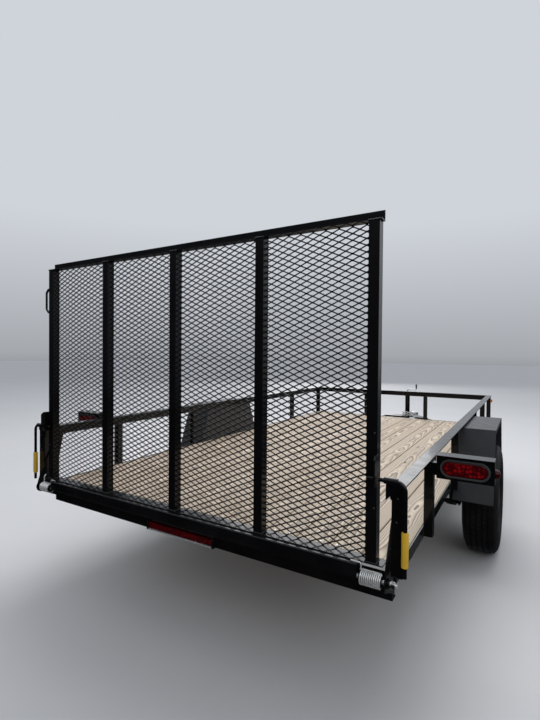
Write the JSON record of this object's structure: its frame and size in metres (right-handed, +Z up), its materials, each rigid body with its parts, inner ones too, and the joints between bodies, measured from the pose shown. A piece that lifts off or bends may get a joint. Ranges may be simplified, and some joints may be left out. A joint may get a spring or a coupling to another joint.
{
  "type": "utility trailer",
  "caption": "Single-axle utility trailer with a board deck, low angle rails, box fenders and a tall mesh ramp gate that folds down at the rear.",
  "frame": {"origin": "on the ground below the middle of the trailer's overall box", "axes": "+X to the trailer's right, +Y forward to the coupler, +Z up"},
  "size_m": [2.55, 4.8778, 1.774],
  "materials": {
    "black_paint": "gloss",
    "zinc": "satin",
    "pine": "rough",
    "yellow_vinyl": "satin",
    "black_rubber": "matte",
    "red_lens": "gloss",
    "amber_lens": "gloss",
    "tyre_rubber": "matte",
    "rim_silver": "satin",
    "hub_steel": "satin"
  },
  "bodies": {
    "chassis": {"main_frame": "black_paint", "cross_members": "black_paint", "rear_sill": "black_paint", "rail_posts": "black_paint", "rail_right": "black_paint", "rail_left": "black_paint", "rail_front": "black_paint", "hinge_plates": "black_paint", "latch_guides": "black_paint", "latch_rods": "black_paint", "fender_right": "black_paint", "fender_left": "black_paint", "light_boxes": "black_paint", "axle_beam": "black_paint", "leaf_springs": "black_paint", "spring_hangers": "black_paint", "tongue": "black_paint", "coupler": "black_paint", "jack_tube": "black_paint", "hinge_pins": "zinc", "spring_tangs": "zinc", "coupler_latch": "zinc", "jack_crank": "zinc", "safety_chains": "zinc", "deck_boards": "pine", "latch_grips": "yellow_vinyl", "lamp_grommets": "black_rubber", "tail_lenses": "red_lens", "side_markers_red": "red_lens", "side_markers_amber": "amber_lens", "lamp_bar": "red_lens"},
    "gate": {"gate_frame": "black_paint", "gate_mesh": "black_paint", "latch_lugs": "black_paint", "torsion_springs": "zinc"},
    "wheel_right": {"tyre_right": "tyre_rubber", "rim_right": "rim_silver", "hub_right": "hub_steel"},
    "wheel_left": {"tyre_left": "tyre_rubber", "rim_left": "rim_silver", "hub_left": "hub_steel"},
    "jack_leg_body": {"jack_leg": "zinc"}
  },
  "joints": [
    {"name": "gate_hinge", "type": "hinge", "parent": "chassis", "child": "gate", "pos_m": [0, -2.4089, 0.532], "axis": [1, 0, 0], "range_deg": [0, 114]},
    {"name": "wheel_right_spin", "type": "hinge", "parent": "chassis", "child": "wheel_right", "pos_m": [1.1165, -0.6139, 0.344], "axis": [1, 0, 0], "continuous": true},
    {"name": "wheel_left_spin", "type": "hinge", "parent": "chassis", "child": "wheel_left", "pos_m": [-1.1165, -0.6139, 0.344], "axis": [1, 0, 0], "continuous": true},
    {"name": "jack_slide", "type": "slide", "parent": "chassis", "child": "jack_leg_body", "axis": [0, 0, 1], "range_m": [0, 0.25]}
  ]
}
